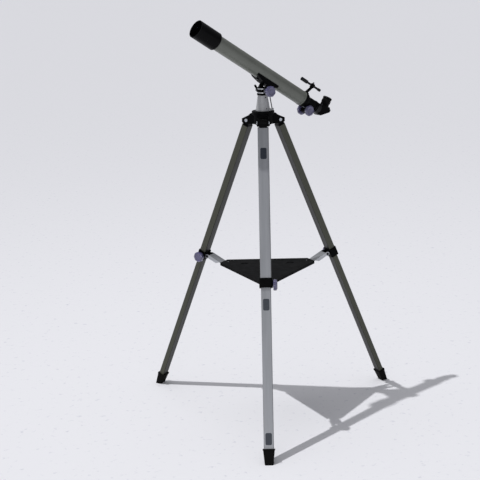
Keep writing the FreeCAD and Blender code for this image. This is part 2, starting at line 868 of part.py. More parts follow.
def make_clamp_plates():
    pieces = []
    for bottom in (lower_plate_bottom, upper_plate_bottom):
        top = bottom + plate_thickness
        disc = z_rod(plate_radius, bottom, top)
        disc = disc.makeChamfer(plate_chamfer, [edge for edge in disc.Edges if edge.Closed])
        hole = rounded_bar(block_core_half, block_core_half, block_corner, bottom - 1, top + 1)
        pieces.append(disc.cut(hole))
    save("clamp_plates", on_head(group(pieces)))


def make_azimuth_lever():
    half = fork_inner - free_clearance
    eye = y_rod(azimuth_lever_eye, -half, half, azimuth_lever_place, azimuth_lever_height)
    foot = vec(azimuth_lever_place, 0, azimuth_lever_height)
    tip = vec(azimuth_lever_place - azimuth_lever_lean, 0, azimuth_lever_top)
    lever = eye.fuse(rod(azimuth_lever_rod_radius, foot, tip))
    lever = lever.fuse(Part.makeSphere(azimuth_lever_ball, tip))
    pin_way = azimuth_lever_rod_radius + pin_clearance
    lever = lever.cut(y_rod(pin_way, -fork_inner, fork_inner, azimuth_lever_place, azimuth_lever_height))
    save("azimuth_lever", on_head(turned(lever, Z_AXIS, azimuth_lever_angle)))


def make_altitude_clamp():
    z = altitude_axis_height
    end = altitude_bolt_end
    bolt = y_rod(altitude_bolt_radius, -altitude_cap_inner, end, 0, z)
    cap = y_rod(altitude_cap_radius, -altitude_cap_outer, -altitude_cap_inner, 0, z)
    save("altitude_bolt", on_head(bolt.fuse(cap).removeSplitter()))
    back = altitude_knob_back
    stem = back - saddle_half_width - washer_thickness - free_clearance
    body = knob(altitude_knob_thickness, altitude_bolt_radius, knob_stem_radius, stem)
    cover = z_rod(altitude_bolt_radius + 3, end - back, altitude_knob_thickness - 1)
    body = body.fuse(cover).cut(z_rod(altitude_bolt_radius, -stem - 1, end - back))
    upright = moved(turned(body.removeSplitter(), X_AXIS, -90), 0, back, z)
    save("altitude_knob", on_head(upright))


def make_altitude_lever():
    z = altitude_axis_height
    inner = -saddle_half_width - washer_thickness - 0.5
    outer = free_clearance - altitude_cap_inner
    half = altitude_wing_thickness / 2
    hub = y_rod(knob_stem_radius, outer, inner, 0, z)
    middle = (inner + outer) / 2 - 1.5
    reach = altitude_wing_reach
    wide = altitude_wing_half_width
    wing = box(-reach, reach, middle - half, middle + half, -wide, wide)
    tips = [edge for edge in wing.Edges if abs(edge.BoundBox.YLength - 2 * half) < 0.01]
    wing = wing.makeFillet(wide - 0.5, tips)
    wing = moved(turned(wing, Y_AXIS, altitude_wing_lean), 0, 0, z)
    bore = y_rod(altitude_bolt_radius + pin_clearance, outer - 1, inner + 1, 0, z)
    save("altitude_lever", on_head(hub.fuse(wing).cut(bore).removeSplitter()))


def make_altitude_washers():
    pieces = []
    for side in (-1, 1):
        low, high = y_span(side, saddle_half_width, saddle_half_width + washer_thickness)
        washer = y_rod(washer_radius, low, high, 0, 0)
        pieces.append(washer.cut(y_rod(altitude_bolt_radius + pin_clearance, low - 1, high + 1, 0, 0)))
    save("altitude_washers", on_tube(group(pieces)))


def make_saddle():
    half = saddle_half_width
    floor = saddle_floor
    rim = saddle_wall_top
    profile = [
        (saddle_front, rim),
        (saddle_front, rim - 8),
        (saddle_front - 12, rim - 14),
        (saddle_front - 47, floor),
        (saddle_rear + 25, floor),
        (saddle_rear + 6, rim - 13),
        (saddle_rear, rim - 8),
        (saddle_rear, rim),
    ]
    saddle = xz_prism(profile, -half, half)
    for side in (-1, 1):
        low, high = y_span(side, arm_gap, saddle_half_width)
        arm = box(-arm_half_length, arm_half_length, low, high, 0, floor + 6)
        foot = y_rod(arm_half_length, low, high, 0, 0)
        saddle = saddle.fuse(arm).fuse(foot)
    bed = x_rod(tube_radius, saddle_rear - 1, saddle_front + 1, 0, tube_axis_height)
    saddle = saddle.cut(bed)
    saddle = saddle.cut(y_rod(altitude_bolt_radius + pin_clearance, -half - 1, half + 1, 0, 0))
    for x in saddle_screw_places:
        saddle = saddle.cut(z_rod(saddle_screw_radius, 0, rim, x))
        saddle = saddle.cut(z_rod(saddle_screw_head_radius + 0.5, 0, saddle_screw_seat, x))
    save("saddle", on_tube(saddle.removeSplitter()))


def make_saddle_screws():
    inside = tube_axis_height - tube_radius + tube_wall
    pieces = []
    for x in saddle_screw_places:
        shaft = z_rod(saddle_screw_radius, saddle_screw_seat, inside + 6, x)
        head = z_rod(saddle_screw_head_radius, saddle_screw_seat - 3.5, saddle_screw_seat, x)
        nut = z_rod(saddle_screw_radius + saddle_nut_step, inside + 1.0, inside + 4.5, x)
        pieces.append(shaft.fuse([head, nut]).removeSplitter())
    save("saddle_screws", on_tube(group(pieces)))


def make_tube():
    z = tube_axis_height
    tube = x_rod(tube_radius, tube_rear, tube_front, 0, z)
    tube = tube.cut(x_rod(tube_radius - tube_wall, tube_rear - 1, tube_front + 1, 0, z))
    for x in saddle_screw_places:
        tube = tube.cut(z_rod(saddle_screw_radius, 0, z, x))
    save("tube", on_tube(tube))
    ring = x_rod(end_ring_radius, tube_rear, tube_rear + end_ring_length, 0, z)
    ring = ring.cut(x_rod(tube_radius, tube_rear - 1, tube_rear + end_ring_length + 1, 0, z))
    save("tube_end_ring", on_tube(ring))


def make_dew_shield():
    z = tube_axis_height
    back = shield_front - shield_length
    bore = shield_radius - shield_wall
    shield = x_rod(shield_radius, back, shield_front, 0, z)
    closed = [edge for edge in shield.Edges if edge.Closed]
    rear_edge = [edge for edge in closed if abs(edge.BoundBox.XMax - back) < 0.01]
    shield = shield.makeFillet(shield_edge_round, rear_edge)
    shield = shield.cut(x_rod(bore, back + shield_edge_round, shield_front + 1, 0, z))
    shield = shield.cut(x_rod(tube_radius, back - 1, shield_front, 0, z))
    rim_back = shield_front - shield_rim_length
    rim = x_rod(shield_radius, rim_back, shield_front, 0, z)
    rim = rim.cut(x_rod(bore - shield_rim, rim_back - 1, shield_front + 1, 0, z))
    save("dew_shield", on_tube(shield.fuse(rim).removeSplitter()))


def make_lens_cell():
    z = tube_axis_height
    outer = shield_radius - shield_wall
    front = cell_back + cell_length
    seat = lens_back + lens_edge + 0.2
    cell = x_rod(outer, cell_back, front, 0, z)
    cell = cell.cut(x_rod(tube_radius, cell_back - 1, tube_front, 0, z))
    cell = cell.cut(x_rod(lens_radius - lens_lip, tube_front - 1, lens_back, 0, z))
    cell = cell.cut(x_rod(lens_radius, lens_back, front + 1, 0, z))
    ring_front = seat + lens_ring_length
    ring = x_rod(lens_radius, seat - 0.2, ring_front, 0, z)
    ring = ring.cut(x_rod(lens_radius - lens_lip, seat - 1, ring_front + 1, 0, z))
    save("lens_cell", on_tube(group([cell.removeSplitter(), ring])))


def make_objective_lens():
    z = tube_axis_height
    front = lens_back + lens_edge
    disc = x_rod(lens_radius, lens_back, front, 0, z)
    reach = lens_radius - lens_lip - 0.5
    ball_radius = (reach ** 2 + lens_bulge ** 2) / (2 * lens_bulge)
    dome = Part.makeSphere(ball_radius, vec(front + lens_bulge - ball_radius, 0, z))
    dome = dome.common(x_rod(reach, front - 0.5, front + lens_bulge + 1, 0, z))
    save("objective_lens", on_tube(disc.fuse(dome).removeSplitter()))


def make_focuser_body():
    z = tube_axis_height
    collar_end = tube_rear - focuser_collar
    cone_end = collar_end - focuser_cone
    rear = tube_rear - focuser_length
    body = x_rod(tube_radius - tube_wall, tube_rear, tube_rear + focuser_plug, 0, z)
    body = body.fuse(x_rod(tube_radius, collar_end, tube_rear, 0, z))
    body = body.fuse(x_cone(tube_radius, focuser_body_radius, collar_end, cone_end, 0, z))
    body = body.fuse(x_rod(focuser_body_radius, rear, cone_end, 0, z))
    body = body.fuse(x_rod(focuser_body_radius + focuser_rim, rear, rear + focuser_rim_length, 0, z))
    length = pinion_box_half_length
    width = pinion_box_half_width
    low = z - pinion_box_depth
    high = z - pinion_box_root
    pinion_box = box(pinion_place - length, pinion_place + length, -width, width, low, high)
    across = [edge for edge in pinion_box.Edges if abs(edge.BoundBox.YLength - 2 * width) < 0.01]
    lower_edges = [edge for edge in across if edge.BoundBox.ZMax < low + 1]
    pinion_box = pinion_box.makeFillet(pinion_box_round, lower_edges)
    body = body.fuse(pinion_box)
    bore_radius = drawtube_radius + drawtube_clearance
    body = body.cut(x_rod(bore_radius, rear - 1, tube_rear + focuser_plug + 1, 0, z))
    slot_half = rack_half_width + free_clearance
    slot_low = z - rack_pitch_depth - gear_addendum - 0.5
    body = body.cut(box(rear - 1, tube_rear + focuser_plug + 1, -slot_half, slot_half, slot_low, z))
    pocket_radius = pinion_radius + gear_addendum + 0.8
    body = body.cut(y_rod(pocket_radius, -slot_half, slot_half, pinion_place, pinion_height))
    body = body.cut(
        y_rod(pinion_shaft_radius + pin_clearance, -width - 1, width + 1, pinion_place, pinion_height)
    )
    save("focuser_body", on_tube(body.removeSplitter()))


def make_drawtube():
    z = tube_axis_height
    tube = x_rod(drawtube_radius, draw_collar_start, drawtube_inner_end, 0, z)
    tube = tube.fuse(x_rod(draw_collar_radius, draw_collar_end, draw_collar_start, 0, z))
    nose_bore = barrel_radius + pin_clearance
    bore = drawtube_radius - drawtube_wall
    tube = tube.cut(x_rod(bore, draw_collar_start - 2, drawtube_inner_end + 1, 0, z))
    tube = tube.cut(x_rod(nose_bore, draw_collar_end - 1, draw_collar_start, 0, z))
    middle = (draw_collar_start + draw_collar_end) / 2
    tapping = z_rod(thumb_radius + pin_clearance, barrel_radius - 2, draw_collar_radius + 2)
    tapping = moved(turned(tapping, X_AXIS, drawtube_screw_turn), middle, 0, z)
    save("drawtube", on_tube(tube.cut(tapping).removeSplitter()))


def thumb_screw(tip, face, head_start):
    """A thumb screw along +Z, with its tip, the face it stands on and its head at those heights."""
    head_end = head_start + thumb_head_length
    shaft = z_rod(thumb_radius, tip, head_start + 1)
    head = z_rod(thumb_head_radius, head_start, head_end)
    reach = thumb_head_radius + 0.5
    for step in range(thumb_flutes):
        angle = 2 * math.pi * step / thumb_flutes
        flute = z_rod(
            thumb_flute_radius, head_start - 1, head_end + 1, reach * math.cos(angle), reach * math.sin(angle)
        )
        head = head.cut(flute)
    neck = z_rod(thumb_radius + 1, face + free_clearance, head_start)
    return shaft.fuse([head, neck]).removeSplitter()


def make_drawtube_screw():
    middle = (draw_collar_start + draw_collar_end) / 2
    screw = thumb_screw(barrel_radius + free_clearance, draw_collar_radius, draw_collar_radius + 2)
    screw = moved(turned(screw, X_AXIS, drawtube_screw_turn), middle, 0, tube_axis_height)
    save("drawtube_screw", on_tube(screw))


def tooth_flank(base, outer, half_angle, steps):
    """Points of one involute flank from the base circle to the tip, turned by half_angle."""
    points = []
    limit = math.sqrt((outer / base) ** 2 - 1)
    for step in range(steps + 1):
        roll = limit * step / steps
        radius = base * math.sqrt(1 + roll ** 2)
        angle = half_angle - (roll - math.atan(roll))
        points.append((radius, angle))
    return points


def make_pinion():
    pressure = math.radians(gear_pressure_angle)
    base = pinion_radius * math.cos(pressure)
    outer = pinion_radius + gear_addendum
    root = pinion_radius - gear_dedendum
    at_pitch = math.pi / 2 / pinion_teeth - gear_backlash / 4 / pinion_radius
    half_angle = at_pitch + math.tan(pressure) - pressure
    flank = tooth_flank(base, outer, half_angle, 5)
    corners = []
    for tooth in range(pinion_teeth):
        middle = math.pi / 2 + 2 * math.pi * tooth / pinion_teeth
        side = [(root, half_angle)] + flank
        around = [(radius, middle - angle) for radius, angle in side]
        around += [(radius, middle + angle) for radius, angle in reversed(side)]
        for radius, angle in around:
            corners.append(vec(radius * math.cos(angle), 0, radius * math.sin(angle)))
    face = Part.Face(Part.makePolygon(corners + corners[:1]))
    wheel = face.extrude(vec(0, 2 * rack_half_width, 0))
    wheel = moved(wheel, pinion_place, -rack_half_width, pinion_height)
    end = focus_knob_gap + focus_knob_thickness - 3
    shaft = y_rod(pinion_shaft_radius, -end, end, pinion_place, pinion_height)
    save("pinion_shaft", on_tube(wheel.fuse(shaft).removeSplitter()))


def make_rack():
    z = tube_axis_height
    pitch = math.pi * gear_module
    lean = math.tan(math.radians(gear_pressure_angle))
    root = z - rack_pitch_depth + gear_dedendum
    tip = z - rack_pitch_depth - gear_addendum
    half = pitch / 4 - gear_backlash / 4
    half_root = half + gear_dedendum * lean
    half_tip = half - gear_addendum * lean
    bar_top = z - drawtube_radius + rack_seat
    bar = box(rack_end, rack_start, -rack_half_width, rack_half_width, root, bar_top)
    bar = bar.cut(x_rod(drawtube_radius, rack_end - 1, rack_start + 1, 0, z))
    teeth = []
    first = math.ceil((rack_end - pinion_place) / pitch) + 1
    last = math.floor((rack_start - pinion_place) / pitch) - 1
    for step in range(first, last):
        x = pinion_place + (step + 0.5) * pitch
        teeth.append(
            xz_prism(
                [
                    (x - half_root, root + 0.2),
                    (x - half_root, root),
                    (x - half_tip, tip),
                    (x + half_tip, tip),
                    (x + half_root, root),
                    (x + half_root, root + 0.2),
                ],
                -rack_half_width,
                rack_half_width,
            )
        )
    save("rack", on_tube(bar.fuse(teeth).removeSplitter()))


def make_focus_knobs():
    stem = focus_knob_gap - pinion_box_half_width - free_clearance
    body = knob(focus_knob_thickness, pinion_shaft_radius, knob_stem_radius, stem)
    cap = z_rod(pinion_shaft_radius + 3, focus_knob_thickness - 3, focus_knob_thickness - 1)
    body = body.fuse(cap).removeSplitter()
    pieces = []
    for turn, side in ((-90, 1), (90, -1)):
        piece = turned(body, X_AXIS, turn)
        pieces.append(moved(piece, pinion_place, side * focus_knob_gap, pinion_height))
    save("focus_knobs", on_tube(group(pieces)))


def make_diagonal():
    z = tube_axis_height
    half = diagonal_half_width
    high = diagonal_half_height
    nose_tip = diagonal_front + nose_depth
    nose = x_rod(barrel_radius, diagonal_front, nose_tip, 0, z)
    collar = x_rod(barrel_radius + 2.5, diagonal_front - 1, diagonal_front + 0.6, 0, z)
    profile = [
        (diagonal_front, z + high),
        (diagonal_front, z - high),
        (diagonal_front - diagonal_toe, z - high),
        (diagonal_back, z + high - diagonal_toe),
        (diagonal_back, z + high),
    ]
    body = xz_prism(profile, -half, half)
    across = [edge for edge in body.Edges if abs(edge.BoundBox.YLength - 2 * half) < 0.01]
    body = body.makeFillet(diagonal_edge_round, across)
    holder_top = z + eyepiece_seat
    holder = z_rod(barrel_radius + holder_wall, z, holder_top, eyepiece_place)
    body = body.fuse([nose, collar, holder])
    body = body.cut(x_rod(barrel_radius - nose_wall, eyepiece_place, nose_tip + 1, 0, z))
    body = body.cut(z_rod(barrel_radius + pin_clearance, z + 2, holder_top + 1, eyepiece_place))
    tapping_height = z + diagonal_screw_height
    tapping = x_rod(thumb_radius + pin_clearance, diagonal_back - 2, eyepiece_place, 0, tapping_height)
    body = body.cut(tapping)
    run = diagonal_front - diagonal_toe - diagonal_back
    rise = 2 * high - diagonal_toe
    lean = math.atan2(rise, run)
    mirror = box(
        -mirror_half_length, mirror_half_length, -mirror_half_width, mirror_half_width, 0, mirror_thickness
    )
    mirror = turned(mirror, Y_AXIS, math.degrees(lean))
    mirror = moved(
        mirror,
        diagonal_back + run / 2 + mirror_inset * math.sin(lean),
        0,
        z - high + rise / 2 + mirror_inset * math.cos(lean),
    )
    save("diagonal_body", on_tube(body.cut(mirror).removeSplitter()))
    save("diagonal_mirror", on_tube(mirror))


def make_diagonal_screw():
    face = barrel_radius + holder_wall
    screw = thumb_screw(barrel_radius + free_clearance, face, barrel_radius + diagonal_screw_head)
    height = tube_axis_height + diagonal_screw_height
    screw = moved(turned(screw, Y_AXIS, -90), eyepiece_place, 0, height)
    save("diagonal_screw", on_tube(screw))


def make_eyepiece():
    x = eyepiece_place
    seat = tube_axis_height + eyepiece_seat + free_clearance
    top = seat - free_clearance + eyepiece_height
    outer = eyepiece_radius
    profile = [
        (eyepiece_bore, seat),
        (outer - 1, seat),
        (outer, seat + 1),
        (outer, top - 9),
        (outer - 2, top - 8),
        (outer - 2, top - 5),
        (outer, top - 4),
        (outer - 1, top),
        (outer - 4, top),
        (eyepiece_bore, top - 6),
    ]
    body = moved(spin(profile, ORIGIN, Z_AXIS), x, 0, 0)
    barrel_end = seat - eyepiece_barrel_depth
    barrel = z_rod(barrel_radius, barrel_end, seat, x)
    barrel = barrel.cut(z_rod(barrel_radius - nose_wall, barrel_end - 1, seat - 2, x))
    barrel = barrel.cut(z_rod(eyepiece_bore, seat - 3, seat + 1, x))
    save("eyepiece", on_tube(body.fuse(barrel).removeSplitter()))
    lens = z_rod(eyepiece_bore, top - 12, top - 8, x)
    save("eyepiece_lens", on_tube(lens))


def make_finder():
    z = finder_height
    front_end = finder_front - finder_front_length
    cone_end = front_end - finder_cone
    rear_start = finder_rear + finder_rear_length
    body = x_rod(finder_front_radius, front_end, finder_front, 0, z)
    body = body.fuse(x_cone(finder_front_radius, finder_body_radius, front_end, cone_end, 0, z))
    body = body.fuse(x_rod(finder_body_radius, rear_start, cone_end, 0, z))
    body = body.fuse(x_rod(finder_rear_radius, finder_rear, rear_start, 0, z))
    inner_front = finder_front_radius - finder_wall
    inner_rear = finder_body_radius - finder_wall
    body = body.cut(x_rod(inner_front, front_end, finder_front + 1, 0, z))
    body = body.cut(x_rod(inner_rear, finder_rear - 1, front_end + 1, 0, z))
    save("finder_tube", on_tube(body.removeSplitter()))
    lens_front = x_rod(inner_front, finder_front - 8, finder_front - 5, 0, z)
    lens_rear = x_rod(inner_rear, finder_rear + 1, finder_rear + 3, 0, z)
    save("finder_lenses", on_tube(group([lens_front, lens_rear])))


def make_finder_bracket():
    z = finder_height
    ring_front = finder_ring_place + finder_ring_length / 2
    ring_rear = finder_ring_place - finder_ring_length / 2
    foot_base = tube_axis_height + tube_radius
    foot_outer = tube_radius + finder_foot_height
    foot = x_rod(foot_outer, finder_foot_rear, finder_foot_front, 0, tube_axis_height)
    foot = foot.cut(x_rod(tube_radius, finder_foot_rear - 1, finder_foot_front + 1, 0, tube_axis_height))
    half = finder_foot_half_width
    foot = foot.common(
        box(finder_foot_rear, finder_foot_front, -half, half, tube_axis_height, foot_base + 10)
    )
    ring_low = z - finder_ring_radius + 2
    stalk_middle = (finder_foot_front + finder_foot_rear) / 2
    stalk = xz_prism(
        [
            (stalk_middle + finder_stalk_half_length, foot_base + 0.5),
            (stalk_middle - finder_stalk_half_length, foot_base + 0.5),
            (ring_rear + 1, ring_low),
            (ring_front - 1, ring_low),
        ],
        -finder_stalk_half_width,
        finder_stalk_half_width,
    )
    ring = x_rod(finder_ring_radius, ring_rear, ring_front, 0, z)
    bracket = foot.fuse([stalk, ring])
    bracket = bracket.cut(x_rod(finder_ring_bore, ring_rear - 1, ring_front + 1, 0, z))
    for angle in finder_screw_angles:
        tapping = z_rod(finder_screw_radius, finder_body_radius + 1, finder_ring_radius + 2)
        tapping = turned(tapping, X_AXIS, angle - 90)
        bracket = bracket.cut(moved(tapping, finder_ring_place, 0, z))
    save("finder_bracket", on_tube(bracket.removeSplitter()))


def make_finder_screws():
    head_start = finder_ring_radius + 1.2
    pieces = []
    for angle in finder_screw_angles:
        screw = z_rod(finder_screw_radius, finder_body_radius + free_clearance, head_start + 0.3)
        screw = screw.fuse(z_rod(finder_screw_head_radius, head_start, head_start + finder_screw_head_length))
        screw = turned(screw.removeSplitter(), X_AXIS, angle - 90)
        pieces.append(moved(screw, finder_ring_place, 0, finder_height))
    save("finder_screws", on_tube(group(pieces)))


os.makedirs("parts", exist_ok=True)
make_hub()
make_leg_pivot_bolts()
make_azimuth_bolt()
for leg in range(leg_count):
    make_top_fitting(leg)
    make_upper_leg(leg)
    make_collar(leg)
    make_lock_knob(leg)
    make_lower_leg(leg)
    make_leg_inserts(leg)
    make_foot(leg)
    make_brace(leg)
make_tray()
make_tray_nut()
make_post()
make_post_screws()
make_friction_block()
make_clamp_plates()
make_azimuth_lever()
make_altitude_clamp()
make_altitude_lever()
make_altitude_washers()
make_saddle()
make_saddle_screws()
make_tube()
make_dew_shield()
make_lens_cell()
make_objective_lens()
make_focuser_body()
make_drawtube()
make_drawtube_screw()
make_pinion()
make_rack()
make_focus_knobs()
make_diagonal()
make_diagonal_screw()
make_eyepiece()
make_finder()
make_finder_bracket()
make_finder_screws()
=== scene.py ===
import json
import math
import bmesh
import bpy
import numpy as np
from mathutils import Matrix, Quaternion, Vector


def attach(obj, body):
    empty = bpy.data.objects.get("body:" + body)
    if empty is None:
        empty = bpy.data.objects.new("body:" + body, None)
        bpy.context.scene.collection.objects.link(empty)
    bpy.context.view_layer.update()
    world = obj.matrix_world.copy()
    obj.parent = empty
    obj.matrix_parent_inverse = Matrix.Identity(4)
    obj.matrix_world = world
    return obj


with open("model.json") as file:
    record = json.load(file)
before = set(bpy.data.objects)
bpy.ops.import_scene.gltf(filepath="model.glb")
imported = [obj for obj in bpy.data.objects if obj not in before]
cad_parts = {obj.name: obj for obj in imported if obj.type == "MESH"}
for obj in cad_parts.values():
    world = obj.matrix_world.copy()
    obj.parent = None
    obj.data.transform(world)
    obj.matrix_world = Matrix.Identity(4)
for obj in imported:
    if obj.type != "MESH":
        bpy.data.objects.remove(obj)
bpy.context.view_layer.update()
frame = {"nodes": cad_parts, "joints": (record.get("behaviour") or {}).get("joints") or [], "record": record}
nodes = frame["nodes"]
joints = {joint["name"]: joint for joint in frame["joints"]}
mm = 0.001
print("frame loaded:", len(nodes), "nodes")

# Camera and light

cameraLook = {
    "place": (0.087, -4.6785, 1.924), "heading": 2.41, "pitch": -14.19, "roll": -1.8,
    "lens": 86.7, "sensor": 36, "farthest": 200,
}
lightLook = {
    "sunAzimuth": 192.0, "sunElevation": 66.0, "sunStrength": 2.0, "sunAngle": 0.9,
    "skyColour": "#d8d9de", "skyStrength": 0.46,
}
softboxes = {
    "overheadSoftbox": {"place": (-0.6, 0.6, 5.0), "aim": (0, 0, 1.0), "size": (3.0, 2.0), "power": 32},
    "frontSoftbox": {"place": (-0.9, -5.2, 1.5), "aim": (0, 0, 0.5), "size": (1.6, 1.6), "power": 26},
}
floorLook = {
    "colour": "#e6e6ea", "speck": "#cfcfd8", "speckMm": 26.0, "speckFrom": 0.62, "speckTo": 0.78, "detail": 3.0,
    "half": 400.0, "fixed": {"Roughness": 0.9, "Specular IOR Level": 0.2},
}


def toLinear(hexColour):
    # a channel up to 0.04045 is divided by 12.92, a brighter one is ((c + 0.055) / 1.055) to the power 2.4
    channels = [int(hexColour[start:start + 2], 16) / 255 for start in (1, 3, 5)]
    return tuple(c / 12.92 if c <= 0.04045 else ((c + 0.055) / 1.055) ** 2.4 for c in channels) + (1.0,)


def addNode(tree, kind, values={}, links={}, **settings):
    node = tree.nodes.new(kind)
    for name, value in settings.items():
        setattr(node, name, value)
    for socket, value in values.items():
        node.inputs[socket].default_value = value
    for socket, source in links.items():
        tree.links.new(source, node.inputs[socket])
    return node


def putInScene(thing):
    bpy.context.scene.collection.objects.link(thing)
    return thing


def addCamera(look):
    heading, pitch = math.radians(look["heading"]), math.radians(look["pitch"])
    flat = math.cos(pitch)
    forward = Vector((-math.sin(heading) * flat, math.cos(heading) * flat, math.sin(pitch)))
    turn = forward.to_track_quat("-Z", "Y") @ Quaternion((0, 0, 1), math.radians(look["roll"]))
    data = bpy.data.cameras.new("camera")
    data.lens = look["lens"]
    data.sensor_width = look["sensor"]
    data.clip_end = look["farthest"]
    camera = putInScene(bpy.data.objects.new("camera", data))
    camera.location = look["place"]
    camera.rotation_mode = "QUATERNION"
    camera.rotation_quaternion = turn
    bpy.context.scene.camera = camera


def addLights(look):
    azimuth, elevation = math.radians(look["sunAzimuth"]), math.radians(look["sunElevation"])
    flat = math.cos(elevation)
    towards = Vector((math.cos(azimuth) * flat, math.sin(azimuth) * flat, math.sin(elevation)))
    data = bpy.data.lights.new("sun", "SUN")
    data.energy = look["sunStrength"]
    data.angle = math.radians(look["sunAngle"])
    sun = putInScene(bpy.data.objects.new("sun", data))
    sun.rotation_mode = "QUATERNION"
    sun.rotation_quaternion = (-towards).to_track_quat("-Z", "Y")
    for name, box in softboxes.items():
        data = bpy.data.lights.new(name, "AREA")
        data.shape = "RECTANGLE"
        data.size, data.size_y = box["size"]
        data.energy = box["power"]
        lamp = putInScene(bpy.data.objects.new(name, data))
        lamp.location = box["place"]
        lamp.rotation_mode = "QUATERNION"
        lamp.rotation_quaternion = (Vector(box["aim"]) - Vector(box["place"])).to_track_quat("-Z", "Y")
    world = bpy.data.worlds.new("paleSky")
    world.use_nodes = True
    background = world.node_tree.nodes["Background"]
    background.inputs["Color"].default_value = toLinear(look["skyColour"])
    background.inputs["Strength"].default_value = look["skyStrength"]
    bpy.context.scene.world = world
    bpy.context.scene.view_settings.view_transform = "Standard"


def newMaterial(name, values):
    material = bpy.data.materials.new(name)
    material.use_nodes = True
    tree = material.node_tree
    shader = tree.nodes["Principled BSDF"]
    for socket, value in values.items():
        shader.inputs[socket].default_value = value
    return material, tree, shader


def patternSpace(tree, sizes, turn=(0, 0, 0)):
    # object coordinates turned into the pattern's own axes and divided by the size of one feature, in mm
    where = addNode(tree, "ShaderNodeTexCoord")
    return addNode(
        tree, "ShaderNodeMapping", {"Rotation": turn, "Scale": tuple(size * mm for size in sizes)},
        {"Vector": where.outputs["Object"]}, vector_type="TEXTURE",
    ).outputs["Vector"]


def addFloor(look):
    half = look["half"]
    mesh = bpy.data.meshes.new("floor")
    corners = [(-half, -half, 0), (half, -half, 0), (half, half, 0), (-half, half, 0)]
    mesh.from_pydata(corners, [], [(0, 1, 2, 3)])
    floor = putInScene(bpy.data.objects.new("floor", mesh))
    # painted screed: matt, with a faint speck
    material, tree, shader = newMaterial("paintedScreed", look["fixed"])
    space = patternSpace(tree, [look["speckMm"]] * 3)
    speck = addNode(tree, "ShaderNodeTexNoise", {"Scale": 1.0, "Detail": look["detail"]}, {"Vector": space})
    share = addNode(
        tree, "ShaderNodeMapRange", {"From Min": look["speckFrom"], "From Max": look["speckTo"]},
        {"Value": speck.outputs["Fac"]},
    )
    mix = addNode(
        tree, "ShaderNodeMix", {6: toLinear(look["colour"]), 7: toLinear(look["speck"])},
        {0: share.outputs["Result"]}, data_type="RGBA",
    )
    tree.links.new(mix.outputs[2], shader.inputs["Base Color"])
    mesh.materials.append(material)


addCamera(cameraLook)
addLights(lightLook)
addFloor(floorLook)
print("camera, lights and floor made")

# Finishes


# noise lies mostly between low and low + span, and a share of grain widens both by that share
layerLook = {
    "grainDetail": 4.0, "grainRough": 0.55, "patchDetail": 3.0, "patchRough": 0.6, "low": 0.3, "span": 0.4,
}


def faceColourAndShade(tree, look, face, bright):
    # a height is the point times a direction, and each share goes from 0 to 1 between two heights. On a leg this
    # paints shade: the outer face keeps the base colour, the side faces get a painted shade and the inner face a
    # deeper painted shade; on the top fitting it lays the window pad's own blue-grey on the black moulding
    shares = {}
    for name, (direction, low, high) in face.items():
        where = addNode(tree, "ShaderNodeTexCoord").outputs["Object"]
        height = addNode(
            tree, "ShaderNodeVectorMath", {1: direction}, {0: where}, operation="DOT_PRODUCT"
        ).outputs["Value"]
        shares[name] = addNode(
            tree, "ShaderNodeMapRange", {"From Min": low, "From Max": high}, {"Value": height}
        ).outputs["Result"]
    outer = shares["outer"]
    if "pad" in shares:
        outer = addNode(
            tree, "ShaderNodeMath", {}, {0: outer, 1: shares["pad"]}, operation="MULTIPLY"
        ).outputs["Value"]
    # side colour blended into inside colour: painted shade on a leg, the moulding's own black on the top fitting
    side = addNode(
        tree, "ShaderNodeMix", {6: toLinear(look["side"]), 7: toLinear(look["inside"])},
        {0: shares["inner"]}, data_type="RGBA",
    )
    return addNode(
        tree, "ShaderNodeMix", {}, {0: outer, 6: side.outputs[2], 7: bright.outputs[2]}, data_type="RGBA"
    )


def layeredFinish(name, look, turn=(0, 0, 0), face=None):
    # base colour drifts to a second one over patches, roughness drifts with it, a fine grain gives the relief
    material, tree, shader = newMaterial(name, look["fixed"])
    grain = addNode(
        tree, "ShaderNodeTexNoise",
        {"Scale": 1.0, "Detail": layerLook["grainDetail"], "Roughness": layerLook["grainRough"]},
        {"Vector": patternSpace(tree, look["grainMm"], turn)},
    )
    patch = addNode(
        tree, "ShaderNodeTexNoise",
        {"Scale": 1.0, "Detail": layerLook["patchDetail"], "Roughness": layerLook["patchRough"]},
        {"Vector": patternSpace(tree, look["patchMm"], turn)},
    )
    blendShare = addNode(
        tree, "ShaderNodeMath", {1: look["grainShare"]},
        {0: grain.outputs["Fac"], 2: patch.outputs["Fac"]}, operation="MULTIPLY_ADD",
    )
    widened = 1 + look["grainShare"]
    low, span = layerLook["low"] * widened, layerLook["span"] * widened
    share = addNode(
        tree, "ShaderNodeMapRange", {"From Min": low, "From Max": low + span},
        {"Value": blendShare.outputs["Value"]},
    )
    colour = addNode(
        tree, "ShaderNodeMix", {6: toLinear(look["colour"]), 7: toLinear(look["second"])},
        {0: share.outputs["Result"]}, data_type="RGBA",
    )
    smooth, rough = look["roughness"]
    roughness = addNode(
        tree, "ShaderNodeMapRange", {"To Min": smooth, "To Max": rough}, {"Value": share.outputs["Result"]}
    )
    relief = addNode(
        tree, "ShaderNodeBump", {"Strength": 1.0, "Distance": look["reliefMm"] * mm},
        {"Height": grain.outputs["Fac"]},
    )
    # with faces given: painted shade on a leg's side and inner faces, or the top fitting's real pad colour on its
    # black moulding
    if face:
        colour = faceColourAndShade(tree, look, face, colour)
    tree.links.new(colour.outputs[2], shader.inputs["Base Color"])
    tree.links.new(roughness.outputs["Result"], shader.inputs["Roughness"])
    tree.links.new(relief.outputs["Normal"], shader.inputs["Normal"])
    return material


def alongLine(direction):
    return Vector(direction).to_track_quat("Z", "Y").to_euler()


